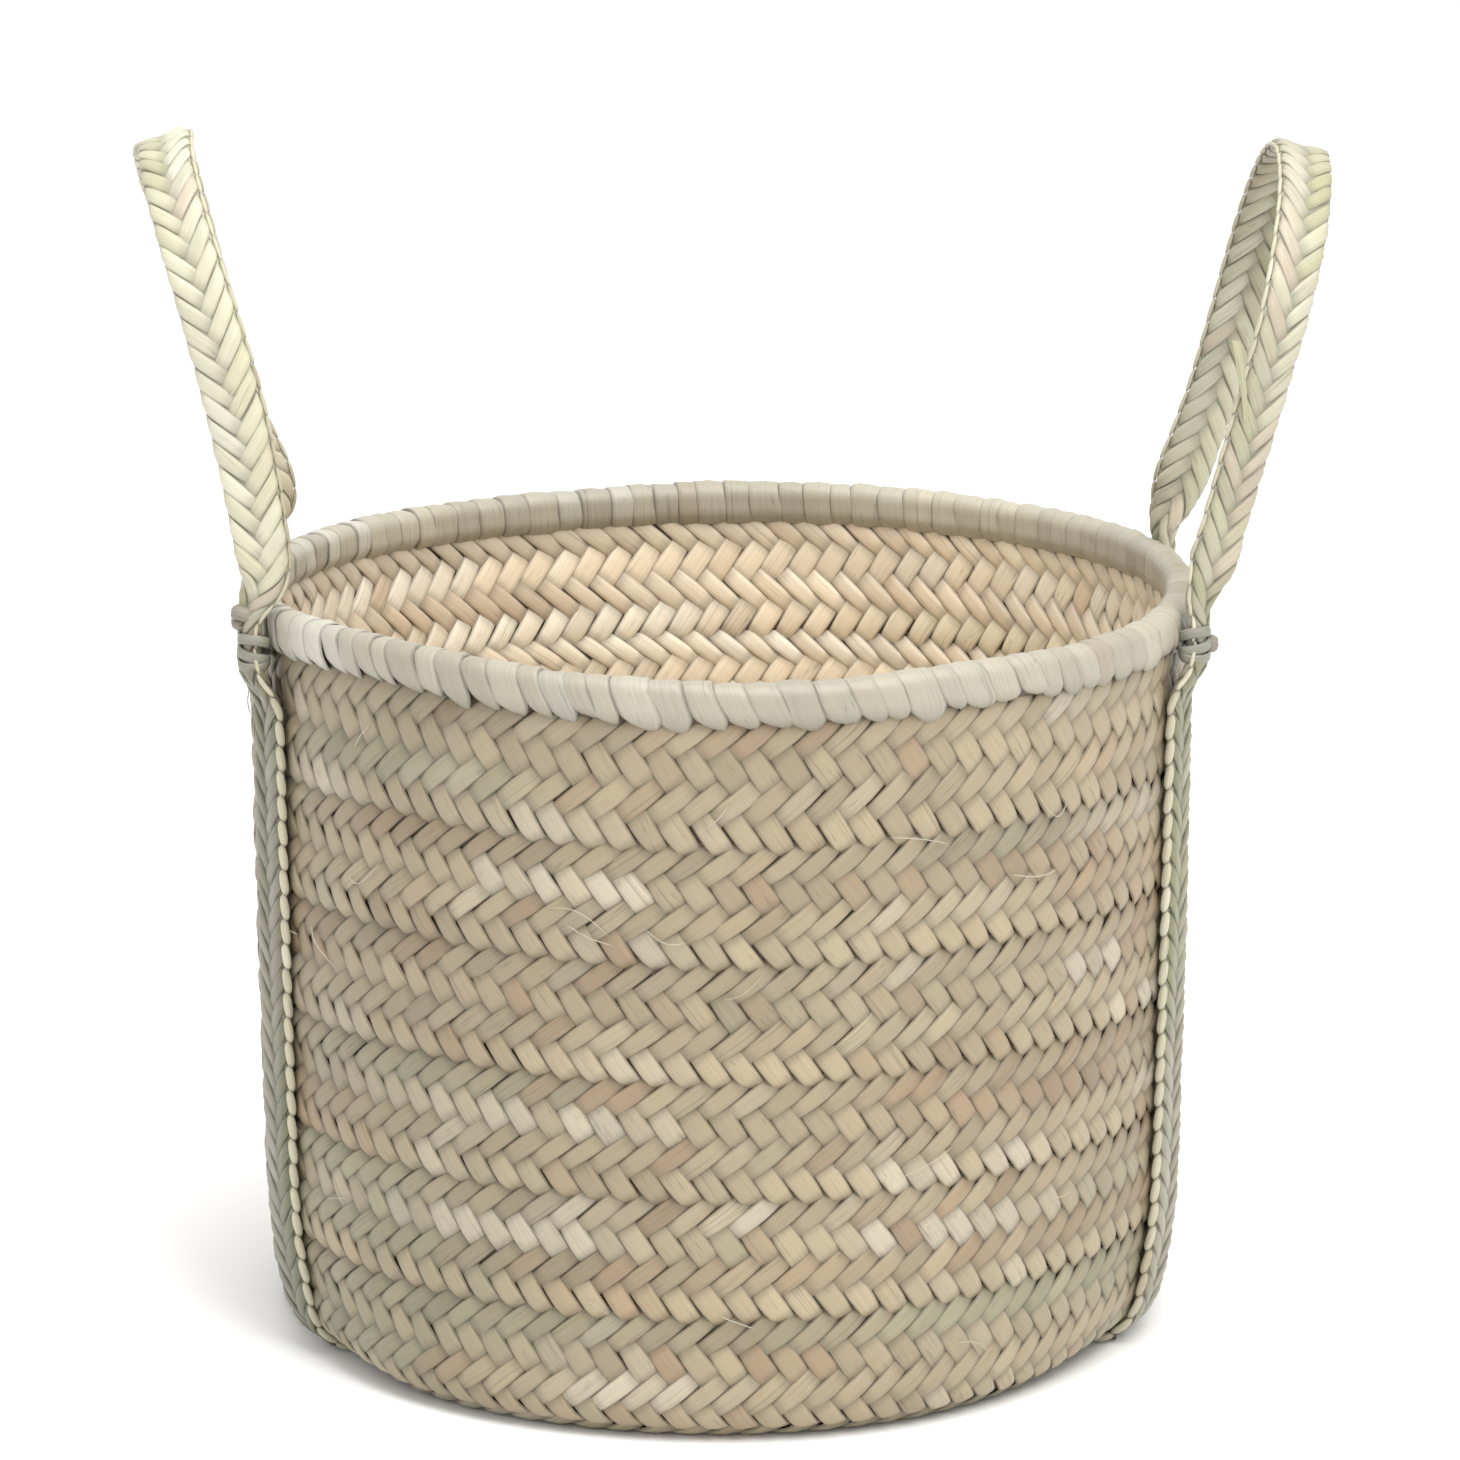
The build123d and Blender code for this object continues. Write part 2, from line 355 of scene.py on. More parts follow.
def math_node(tree, operation, first, second):
    """Add a math node whose inputs are sockets or numbers."""
    made = node(tree, "ShaderNodeMath", operation=operation)
    for place, value in enumerate((first, second)):
        if isinstance(value, (int, float)):
            made.inputs[place].default_value = value
        else:
            tree.links.new(value, made.inputs[place])
    return made.outputs[0]


def range_node(tree, value, low, high, to_low, to_high, smooth=False):
    """Map a value from one range to another, clamped at both ends."""
    made = node(tree, "ShaderNodeMapRange", clamp=True)
    made.interpolation_type = "SMOOTHSTEP" if smooth else "LINEAR"
    tree.links.new(value, made.inputs["Value"])
    for key, number in zip(("From Min", "From Max", "To Min", "To Max"), (low, high, to_low, to_high)):
        made.inputs[key].default_value = number
    return made.outputs["Result"]


def mix_colors(tree, kind, factor, first, second):
    """Mix two colours with a factor; each may be a socket or a constant."""
    made = node(tree, "ShaderNodeMix", data_type="RGBA", blend_type=kind)
    for place, value in ((0, factor), (6, first), (7, second)):
        if hasattr(value, "is_output"):
            tree.links.new(value, made.inputs[place])
        else:
            made.inputs[place].default_value = value
    return made.outputs[2]


def grey(tree, value):
    """Turn a number into a grey colour."""
    made = node(tree, "ShaderNodeCombineColor")
    for place in range(3):
        tree.links.new(value, made.inputs[place])
    return made.outputs[0]


def leaf_noise(tree, vector, stretch, scale, detail):
    """Noise read on the fibre map, stretched so that it runs along the leaf."""
    scaled = node(tree, "ShaderNodeVectorMath", operation="MULTIPLY")
    tree.links.new(vector, scaled.inputs[0])
    scaled.inputs[1].default_value = stretch
    made = node(tree, "ShaderNodeTexNoise", noise_dimensions="2D")
    made.inputs["Scale"].default_value = scale
    made.inputs["Detail"].default_value = detail
    tree.links.new(scaled.outputs[0], made.inputs["Vector"])
    return made.outputs["Fac"]


def palm_leaf_group():
    """Colour, roughness and height of a dry palm leaf, from its fibre map, place and tint; the colour also
    carries painted shade along the strips' edges and ends, and the tint's painted light and shade.
    """
    group = bpy.data.node_groups.new("palm leaf", "ShaderNodeTree")
    for name, value in (
        ("Base", (0.42, 0.35, 0.25, 1)),
        ("Warm", (0.40, 0.29, 0.19, 1)),
        ("Pale", (0.62, 0.56, 0.44, 1)),
        ("Green", (0.38, 0.37, 0.26, 1)),
    ):
        socket(group, name, "NodeSocketColor", "INPUT", value)
    socket(group, "Color", "NodeSocketColor", "OUTPUT")
    socket(group, "Roughness", "NodeSocketFloat", "OUTPUT")
    socket(group, "Height", "NodeSocketFloat", "OUTPUT")
    given = node(group, "NodeGroupInput")
    made = node(group, "NodeGroupOutput")
    fibre_map = node(group, "ShaderNodeUVMap", uv_map="grain").outputs[0]
    place_map = node(group, "ShaderNodeUVMap", uv_map="place").outputs[0]
    tint = node(group, "ShaderNodeAttribute", attribute_name="tint")
    tint_parts = node(group, "ShaderNodeSeparateColor")
    group.links.new(tint.outputs["Color"], tint_parts.inputs[0])
    tone, hue, streak = tint_parts.outputs
    # the tint's alpha carries painted light and shade, multiplied into the colour below
    shade = tint.outputs["Alpha"]
    place = node(group, "ShaderNodeSeparateXYZ")
    group.links.new(place_map, place.inputs[0])

    streaks = leaf_noise(group, fibre_map, (0.45, 20.0, 1.0), 1.0, 3.0)
    fibres = leaf_noise(group, fibre_map, (0.9, 90.0, 1.0), 1.0, 2.0)
    blotches = leaf_noise(group, fibre_map, (1.6, 3.2, 1.0), 1.0, 2.0)

    warm = range_node(group, hue, 0.10, 0.42, 0.85, 0.0, True)
    pale = range_node(group, hue, 0.55, 0.90, 0.0, 0.9, True)
    green = range_node(group, streak, 0.40, 0.90, 0.0, 1.0, True)
    color = mix_colors(group, "MIX", warm, given.outputs["Base"], given.outputs["Warm"])
    color = mix_colors(group, "MIX", pale, color, given.outputs["Pale"])
    color = mix_colors(group, "MIX", green, color, given.outputs["Green"])
    stain = range_node(group, blotches, 0.60, 0.80, 0.0, 0.35, True)
    color = mix_colors(group, "MIX", stain, color, given.outputs["Warm"])
    splits = leaf_noise(group, fibre_map, (0.12, 4.5, 1.0), 1.0, 1.0)
    split = math_node(group, "ABSOLUTE", math_node(group, "SUBTRACT", splits, 0.5), 0)
    split = range_node(group, split, 0.0, 0.012, 0.74, 1.0, True)
    value = range_node(group, tone, 0.0, 1.0, 0.76, 1.20)
    value = math_node(group, "MULTIPLY", value, range_node(group, streaks, 0.25, 0.75, 0.92, 1.07))
    value = math_node(group, "MULTIPLY", value, range_node(group, fibres, 0.2, 0.8, 0.97, 1.03))

    # painted shade: each strip piece darker along its long edges and towards its ends, where it meets its
    # neighbours and tucks under them
    centre = math_node(group, "ABSOLUTE", math_node(group, "SUBTRACT", place.outputs[1], 0.5), 0)
    edge_painted_shade = range_node(group, centre, 0.41, 0.51, 1.0, 0.52, True)
    middle = math_node(group, "ABSOLUTE", math_node(group, "SUBTRACT", place.outputs[0], 0.5), 0)
    end_painted_shade = range_node(group, middle, 0.24, 0.56, 1.0, 0.68, True)
    value = math_node(group, "MULTIPLY", value, split)
    value = math_node(group, "MULTIPLY", value, edge_painted_shade)
    value = math_node(group, "MULTIPLY", value, end_painted_shade)
    value = math_node(group, "MULTIPLY", value, shade)
    color = mix_colors(group, "MULTIPLY", 1.0, color, grey(group, value))
    group.links.new(color, made.inputs["Color"])
    rough = range_node(group, streaks, 0.2, 0.8, 0.40, 0.54)
    group.links.new(rough, made.inputs["Roughness"])
    height = math_node(group, "MULTIPLY", fibres, 0.5)
    height = math_node(group, "ADD", height, streaks)
    group.links.new(height, made.inputs["Height"])
    return group


palm_leaf = palm_leaf_group()


def leaf_material(name, base, warm, pale, green, gloss=0.5, sheen=0.05):
    """Material of one kind of leaf, from four colours of its palette."""
    material = bpy.data.materials.new(name)
    material.use_nodes = True
    tree = material.node_tree
    shader = tree.nodes["Principled BSDF"]
    leaf = node(tree, "ShaderNodeGroup", node_tree=palm_leaf)
    for key, color in (("Base", base), ("Warm", warm), ("Pale", pale), ("Green", green)):
        leaf.inputs[key].default_value = (*color, 1)
    bump = node(tree, "ShaderNodeBump")
    bump.inputs["Strength"].default_value = 0.22
    bump.inputs["Distance"].default_value = 0.25 * mm
    tree.links.new(leaf.outputs["Height"], bump.inputs["Height"])
    tree.links.new(bump.outputs[0], shader.inputs["Normal"])
    tree.links.new(leaf.outputs["Color"], shader.inputs["Base Color"])
    tree.links.new(leaf.outputs["Roughness"], shader.inputs["Roughness"])
    shader.inputs["Specular IOR Level"].default_value = gloss
    shader.inputs["Sheen Weight"].default_value = sheen
    return material


def linear(red, green, blue):
    """Screen colour, 0 to 255, as linear light."""
    values = np.array([red, green, blue]) / 255
    light = np.where(values < 0.04045, values / 12.92, ((values + 0.055) / 1.055) ** 2.4)
    return tuple(float(value) for value in light)


wall_leaf = leaf_material(
    "wall leaf", linear(160, 146, 119), linear(152, 130, 103),
    linear(184, 174, 154), linear(150, 145, 118)
)
# painted light: the inner face's palette is much paler than the outer wall's, for the brightly lit inside
lit_inner_leaf = leaf_material(
    "inner wall leaf in painted light", linear(229, 213, 187), linear(220, 198, 169),
    linear(241, 232, 212), linear(226, 213, 184)
)
rim_leaf = leaf_material(
    "rim leaf", linear(166, 159, 141), linear(160, 148, 129),
    linear(185, 182, 169), linear(160, 160, 143), 0.6
)
band_leaf = leaf_material(
    "handle leaf", linear(200, 196, 172), linear(196, 182, 160),
    linear(222, 218, 198), linear(178, 177, 138), 0.5
)
strand_leaf = leaf_material(
    "sewing strand", linear(170, 165, 143), linear(159, 148, 125),
    linear(186, 182, 163), linear(155, 158, 132)
)
# painted shade: a darker palette for leaf seen only deep in the gaps of the plait and the rim
shaded_core_leaf = leaf_material(
    "hidden leaf in painted shade", linear(136, 114, 84), linear(120, 95, 68),
    linear(169, 144, 109), linear(125, 117, 84)
)
print("leaf materials:", [m.name for m in bpy.data.materials if "leaf" in m.name])

# %% [markdown]
# ## Turns of the wall
# Each turn is four rows high. Its upper edge is sewn behind the turn above, and its lower
# edge stands proud over the turn below, which makes the soft ribs and the line of small pits
# at every seam. The back of the plait has its own strip pieces, and between the two lies a
# plain core, darkened as painted shade of the gaps, standing for the strips that cross inside.

# %% Weave the turns
wall_count = 99
wall_pitch = 2 * math.pi * wall_top_radius / wall_count
rows_per_turn = 4
fall_share = 0.36
strip_arch = 0.85 * mm
strip_crown = 0.42 * mm
corner_jitter = 0.26 * mm
strip_length, strip_width = 11 * mm, 7.5 * mm
# painted light and shade of the ribs: a tone shift for each of the four rows, the recessed top row darkest
# and the proud bottom row lightest
row_painted_light_and_shade = (-0.08, 0.03, -0.03, 0.07)
turn_greens = (-0.12, -0.10, -0.08, -0.04, 0.04, 0.16, 0.2, 0.1, 0.1)


def level_runs(start, width):
    """Ten level lines of one turn: eight equal steps and two that reach into the next turn."""
    return start + width * np.arange(2 * rows_per_turn + 2) / (2 * rows_per_turn)


def slow_noise(count, knots, random):
    """Smooth random values round a ring: a few random knots joined by straight blends."""
    values = random.normal(0, 1, knots)
    place = np.arange(count) / count * knots
    left = np.floor(place).astype(int) % knots
    share = place - np.floor(place)
    return values[left] * (1 - share) + values[(left + 1) % knots] * share


def patch_tints(count, random, tone_shift=0.0, warm_pull=0.0, green_pull=0.0):
    """Tone, hue and greenness of each piece: strips come in runs of a like colour, so slow
    noise round the row counts for more than each piece's own chance."""
    runs = max(3, count // 6)
    tone = 0.48 + tone_shift + 0.15 * slow_noise(count, runs, random) + random.normal(0, 0.13, count)
    hue = 0.47 - warm_pull + 0.19 * slow_noise(count, runs, random) + random.normal(0, 0.09, count)
    hue = np.where(random.uniform(0, 1, count) < 0.035, 0.16, hue)
    green = 0.35 + green_pull + 0.20 * slow_noise(count, max(3, count // 9), random)
    green = green + random.normal(0, 0.06, count)
    stack = np.stack([tone, hue, green, np.ones(count)], axis=-1)
    return np.clip(stack, 0, 1)[:, None, None, :]


def turn_profile(share):
    """Offset of the plait's face over its height: set back at the top edge, full in the
    middle and proud at the bottom edge."""
    top = -0.85 * mm * np.exp(-(share / 0.10) ** 2)
    ribs = 0.30 * mm * np.sin(2 * math.pi * (2 * share - 0.20))
    lip = 0.45 * mm * np.exp(-((share - 0.92) / 0.17) ** 2)
    under = -1.1 * mm * np.clip((share - 1.02) / 0.10, 0, 1)
    return top + ribs + lip + under


def weave_turn(sheet, start, width, count, outside, seed, green_pull=0.0):
    """All strip pieces of one face of one turn, laid on the wall's outline. Outside, leaf at
    the sides is darker as painted shade, and greener on the left; inside, painted light makes it
    palest on the right and painted shade makes it darker on the left."""
    random = np.random.default_rng(seed)
    pitch = wall_pitch * wall_count / count
    for row, rises, corners in herringbone(level_runs(start, width), count, pitch, fall_share, True):
        if row == rows_per_turn - 1:
            inward = 0.06 * (corners[:, 3] - corners[:, 2])
            corners[:, 2] += inward
            corners[:, 3] -= inward
        places = patch_points(corners, random, corner_jitter)
        height = patch_height(count, random, strip_arch, strip_crown)
        run = places[..., 1]
        angle = places[..., 0] / pitch * (2 * math.pi / count) - math.pi / 2
        offset = height + turn_profile((run - start) / width)
        if not outside:
            offset = -plait_thickness - offset
        radius, level = wall_path(np.minimum(run, path_length), offset)
        points = round_the_axis(np.maximum(radius, 0), level, angle)
        tone_shift = row_painted_light_and_shade[row] + 0.05 * math.sin(seed * 1.7)
        tints = patch_tints(count, random, tone_shift, 0.03 if rises else -0.03, green_pull)
        tints = np.broadcast_to(tints, (count, len(along_steps), len(across_steps), 4)).copy()
        # painted light and shade by the angle round the basket: outside, the sides darker and the left most;
        # inside, the right paler and the left darker. The green added on the left outside is the leaf's own
        # colour.
        away = np.cos(np.arange(count) * (2 * math.pi / count) - math.pi / 2)[:, None, None]
        if outside:
            tints[..., 3] *= 1 - 0.10 * away ** 2 - 0.12 * np.clip(-away, 0, 1)
            tints[..., 2] += 0.22 * np.clip(-away - 0.25, 0, 1)
        else:
            tints[..., 3] *= 1 + 0.12 * np.clip(away, 0, 1) - 0.20 * np.clip(-away, 0, 1)
        # painted shade: the top row darker towards the end that tucks under the turn above
        if row == 0:
            tints[..., 3] *= 1 - 0.15 * np.clip(along_steps / 1.1, 0, 1)[None, :, None]
        # painted light: the bottom row lighter towards the proud lip
        if row == rows_per_turn - 1:
            tints[..., 3] *= 1 + 0.08 * np.clip(along_steps, 0, 1)[None, :, None]
        grain, place = leaf_maps(count, strip_length, strip_width, random)
        sheet.add(points, grain, place, tints, flip=(rises == outside))


def core_band(sheet, start, end):
    """Closed band in the middle of the plait's thickness, under both faces, darkened as painted shade of the
    gaps between the strips.
    """
    outer, inner = -1.5 * mm, -plait_thickness + 1.5 * mm
    steps = max(14, int((end - start) / (3 * mm)))
    runs = np.linspace(start, end, steps)
    loop_run = np.concatenate([runs, runs[::-1], runs[:1]])
    loop_offset = np.concatenate([np.full(steps, outer), np.full(steps, inner), [outer]])
    angle = np.linspace(0, 2 * math.pi, 145)
    radius, level = wall_path(loop_run, loop_offset)
    points = round_the_axis(radius[None, :], level[None, :], angle[:, None])[None]
    place = np.full(2, 0.5)
    grain = np.zeros(2)
    # painted shade: the core's tint darkens it further
    sheet.add(points, grain, place, np.array([0.1, 0.3, 0.2, 0.55]), flip=True)


def turn_counts():
    """Strip pieces round each turn, fewer as the base's turns get smaller."""
    counts = []
    for turn in range(wall_turns + base_turns):
        radius, _ = wall_path(np.array((turn + 0.5) * plait_width), 0.0)
        share = float(radius) / wall_top_radius
        counts.append(wall_count if turn < wall_turns else max(12, round(wall_count * share)))
    return counts


for turn, count in enumerate(turn_counts()):
    on_wall = turn < wall_turns
    name = f"wall_turn_{turn + 1}" if on_wall else f"base_turn_{turn + 1 - wall_turns}"
    start = turn * plait_width
    outer_tuck, inner_tuck = (4.0 * mm, 4.5 * mm) if turn == 0 else (0, 0)
    sheet = Sheet()
    green = turn_greens[turn]
    weave_turn(sheet, start - outer_tuck, plait_width + outer_tuck, count, True, 100 + turn, green)
    place_piece(sheet, name + "_outer_face", wall_leaf, "wall_plait", name)
    sheet = Sheet()
    weave_turn(sheet, start - inner_tuck, plait_width + inner_tuck, count, False, 200 + turn, green / 2)
    place_piece(sheet, name + "_inner_face", lit_inner_leaf, "wall_plait")
print("turns woven:", wall_turns + base_turns)

# %% The core strips inside every turn, and the base's folded middle
core = Sheet()
core_band(core, -4 * mm, (wall_turns + base_turns) * plait_width)
place_piece(core, "crossing_strips_inside", shaded_core_leaf, "wall_plait")

centre_start = (wall_turns + base_turns) * plait_width
centre_width = path_length - centre_start
centre = Sheet()
weave_turn(centre, centre_start, centre_width, 14, True, 131)
core_band(centre, centre_start, path_length)
place_piece(centre, "base_centre_plait", wall_leaf, "wall_plait", "base_centre")
centre_top = Sheet()
weave_turn(centre_top, centre_start, centre_width, 14, False, 231)
place_piece(centre_top, "base_centre_inner_face", lit_inner_leaf, "wall_plait")

# %% [markdown]
# ## Cords in the seams
# One cord of twisted leaf runs through every seam and holds two turns together. It shows only
# through the small pits between the strip ends, so a simple tube, darkened as painted shade of
# the pits, is enough.

# %% Seam cords
def tube_round_axis(sheet, run, offset, radius, tint, segments=144, sides=8):
    """Closed tube round the axis at one run and offset, with circular cut."""
    around = np.linspace(0, 2 * math.pi, sides + 1)
    angle = np.linspace(0, 2 * math.pi, segments + 1)
    tube_r, tube_z = wall_path(run + radius * np.sin(around), offset + radius * np.cos(around))
    points = round_the_axis(tube_r[None, :], tube_z[None, :], angle[:, None])[None]
    sheet.add(points, np.zeros(2), np.full(2, 0.5), np.array(tint), flip=True)


for seam in range(1, wall_turns + base_turns + 1):
    cord = Sheet()
    # painted shade: the cord's tint darkens it as the shade in the pits
    tube_round_axis(cord, seam * plait_width, -0.5 * plait_thickness, 0.8 * mm, (0.4, 0.4, 0.2, 0.5))
    place_piece(cord, f"seam_cord_{seam}_strand", shaded_core_leaf, "sewing_strand", f"seam_cord_{seam}")

# %% [markdown]
# ## The wrapped rim
# The rim is a bundle of leaf bound with one long strip. The strip climbs the inside, goes over
# the top and comes down the outside a little further round, and each wrap covers the edge of
# the last. Its lower ends narrow where they pass through the wall, which leaves a row of points.

# %% Bind the rim
rim_top = rim_bottom + rim_height
rim_inner = rim_outer - plait_thickness - 2 * rim_proud
rim_rounding = 4.0 * mm
rim_wraps = 104


def rim_outline(samples):
    """Radius, height and outward direction along the rim's cut edge, from inside to outside,
    with the outer end bending in towards the wall."""
    turn = np.linspace(0, math.pi / 2, 12)
    inner_r = rim_inner + rim_rounding * (1 - np.cos(turn))
    inner_z = rim_top - rim_rounding * (1 - np.sin(turn))
    outer_r = rim_outer - rim_rounding * (1 - np.sin(turn))
    outer_z = rim_top - rim_rounding * (1 - np.cos(turn))
    down = np.linspace(0, 1, 14)[1:]
    down_z = outer_z[-1] + (rim_bottom - 1.6 * mm - outer_z[-1]) * down
    tuck = np.clip((rim_bottom + 4.4 * mm - down_z) / (6.0 * mm), 0, 1)
    down_r = rim_outer - 3.4 * mm * tuck ** 1.6
    up = np.linspace(0, 1, 10)[:-1]
    up_z = rim_bottom - 0.5 * mm + (inner_z[0] - rim_bottom + 0.5 * mm) * up
    up_r = np.full(len(up), rim_inner) + 3.2 * mm * np.clip(1 - up / 0.45, 0, 1) ** 1.6
    radius = np.concatenate([up_r, inner_r, outer_r, down_r])
    height = np.concatenate([up_z, inner_z, outer_z, down_z])
    length = np.concatenate([[0], np.cumsum(np.hypot(np.diff(radius), np.diff(height)))])
    place = samples * length[-1]
    r, z = np.interp(place, length, radius), np.interp(place, length, height)
    dr, dz = np.gradient(r), np.gradient(z)
    norm = np.hypot(dr, dz)
    return r, z, -dz / norm, dr / norm, length[-1]


def wrap_rim(sheet, wraps, seed):
    """Wraps of the binding strip: each is a grid along the outline and across its width."""
    random = np.random.default_rng(seed)
    along = np.linspace(0, 1, 27)
    across = np.array([-0.02, 0.05, 0.2, 0.5, 0.8, 0.95, 1.02])
    widths = random.uniform(0.68, 1.22, wraps)
    widths *= 2 * math.pi / widths.sum()
    starts = np.concatenate([[0], np.cumsum(widths)[:-1]])
    r, z, nr, nz, length = rim_outline(along)
    outer_share = np.clip((along - 0.58) / 0.42, 0, 1)
    taper = 1 - 0.72 * np.clip((along - 0.84) / 0.16, 0, 1) ** 1.5
    lean = (2 * math.pi / wraps) * (0.30 * along + 0.55 * outer_share ** 1.3)
    lean = lean[None, :, None] * random.uniform(0.8, 1.2, (wraps, 1, 1))
    half = 0.5 * (widths[:, None, None] + 1.4 * mm / rim_outer) * taper[None, :, None]
    centre = starts[:, None, None] + 0.5 * widths[:, None, None] + lean
    angle = centre + half * (2 * across[None, None, :] - 1) + random.normal(0, 0.0012, (wraps, 1, 1))
    shingle = 0.55 * mm * (across - 0.5)[None, None, :]
    crown = 0.42 * mm * (1 - np.abs(2 * across - 1) ** 2.4)[None, None, :]
    crown = crown * widths[:, None, None] / widths.mean()
    crease_phase = across[None, None, :] * random.uniform(0.8, 2.2, (wraps, 1, 1))
    crease_phase = crease_phase + random.uniform(0, 1, (wraps, 1, 1))
    crease = 0.16 * mm * np.sin(2 * math.pi * crease_phase)
    ripple_phase = along[None, :, None] * 2.2 + random.uniform(0, 1, (wraps, 1, 1))
    ripple = 0.2 * mm * np.sin(2 * math.pi * ripple_phase)
    skirt = np.where((across < 0) | (across > 1), -0.5 * mm, 0)[None, None, :]
    tips = -0.7 * mm * np.clip((along - 0.93) / 0.07, 0, 1)[None, :, None]
    lift = shingle + crown + crease + ripple + skirt + tips + random.normal(0, 0.14 * mm, (wraps, 1, 1))
    sag = random.normal(0, 0.9 * mm, (wraps, 1, 1)) * np.clip((along - 0.8) / 0.2, 0, 1)[None, :, None]
    radius = r[None, :, None] + nr[None, :, None] * lift
    height = z[None, :, None] + nz[None, :, None] * lift + sag
    points = round_the_axis(radius, height, angle - math.pi / 2)
    tints = patch_tints(wraps, random, 0.06, -0.05, -0.25)
    # painted shade: each wrap darker towards its lower end, where it tucks into the wall
    shade = np.ones((wraps, len(along), len(across), 1))
    low = np.clip((along - 0.80) / 0.2, 0, 1)[None, :, None, None]
    shade = shade * (1 - 0.25 * low)
    colors = np.broadcast_to(tints[..., :3], (wraps, len(along), len(across), 3))
    tint = np.concatenate([colors, shade], axis=-1)
    spot = random.uniform(0, 50, (wraps, 1, 1, 2))
    t = along[None, :, None] + np.zeros((wraps, 1, len(across)))
    w = across[None, None, :] + np.zeros((wraps, len(along), 1))
    grain = np.stack([t * length * 100, w * 0.9], axis=-1) + spot
    middle = 0.5 + 0.42 * (t - 0.5)
    sheet.add(points, grain, np.stack([middle, w], axis=-1), tint, flip=True)


rim = Sheet()
wrap_rim(rim, rim_wraps, 7)
place_piece(rim, "rim_binding", rim_leaf, "rim_leaf", "rim_wrap")

bundle = Sheet()
bundle_angle = np.linspace(0, 2 * math.pi, 181)
bundle_turn = np.linspace(0, 2 * math.pi, 25)
bundle_r = 0.5 * (rim_inner + rim_outer) + 3.9 * mm * np.cos(bundle_turn)
bundle_z = 0.5 * (rim_bottom - 1 * mm + rim_top) + 6.2 * mm * np.sin(bundle_turn)
bundle_points = round_the_axis(bundle_r[None, :], bundle_z[None, :], bundle_angle[:, None])
# painted shade: the bundle's tint darkens it as the shade between the wraps
bundle.add(bundle_points[None], np.zeros(2), np.full(2, 0.5), np.array([0.4, 0.4, 0.2, 0.45]), flip=False)
place_piece(bundle, "rim_leaf_bundle", shaded_core_leaf, "leaf_bundle", "rim_core")

# %% [markdown]
# ## Straps and handles: one folded plait
# A second, narrower plait is folded into a flat tube. It climbs the wall as a strap, is pinched
# into a neck where it is lashed at the rim, turns a quarter round and rises as the handle, then
# comes down the other side. On each face its strips meet in a row of Vs.

# %% The line a handle follows
bend_x = 152.63 * mm
bend_z = 251.14 * mm
leg_spacing = 58.0 * mm
loop_height = 141.0 * mm
leg_length = loop_height - 2.5 * mm - leg_spacing
handle_lean = {
    "left": (math.radians(7.0), math.radians(21.0)),
    "right": (math.radians(15.0), math.radians(15.5)),
}
foot_shift = {"left": -6.0 * mm, "right": 1.8 * mm}
handle_growth = {"left": 1.035, "right": 1.0}
front_turn = {"left": math.radians(12.0), "right": math.radians(34.0)}
rear_shift = {"left": 10.0 * mm, "right": 3.0 * mm}


def half_band(side):
    """Centre points, height over the bend line and lean of a band from the base's edge up the
    front strap and leg to the top of the loop. Both sides are worked out on the right."""
    runs = np.linspace(straight_run + corner_run, 12 * mm, 130)
    strap_r, strap_z = wall_path(runs, 2.7 * mm)
    strap_points = np.stack(
        [strap_r * math.cos(strap_azimuth), -strap_r * math.sin(strap_azimuth), strap_z], axis=-1
    )
    heights = np.linspace(0, leg_length, 60)
    turn = np.linspace(0, math.pi / 2, 50)[1:]
    rise = np.concatenate([heights, leg_length + leg_spacing * np.sin(turn)])
    sideways = np.concatenate([np.full(60, -leg_spacing), -leg_spacing * np.cos(turn)])
    low, high = handle_lean[side]
    top = loop_height - 2.5 * mm
    lean = low + (high - low) * smooth(rise / top)
    steps = np.diff(rise, prepend=0)
    out = np.cumsum(np.sin(lean) * steps)
    up = np.cumsum(np.cos(lean) * steps) * handle_growth[side]
    out = out + foot_shift[side] * smooth((rise + 5 * mm) / (16 * mm))
    loop_points = np.stack([bend_x + out, sideways, bend_z + up], axis=-1)
    neck_z = np.linspace(228 * mm, bend_z - 2 * mm, 16)
    neck_points = np.stack([np.full(16, bend_x + 0.4 * mm), np.full(16, -leg_spacing), neck_z], axis=-1)
    points = np.concatenate([strap_points, neck_points, loop_points])
    lean_all = np.concatenate([np.zeros(146), lean])
    level = np.concatenate([np.full(130, -1.0), (neck_z - bend_z), rise])
    level[:130] = strap_points[:, 2] - bend_z
    return points, level, lean_all


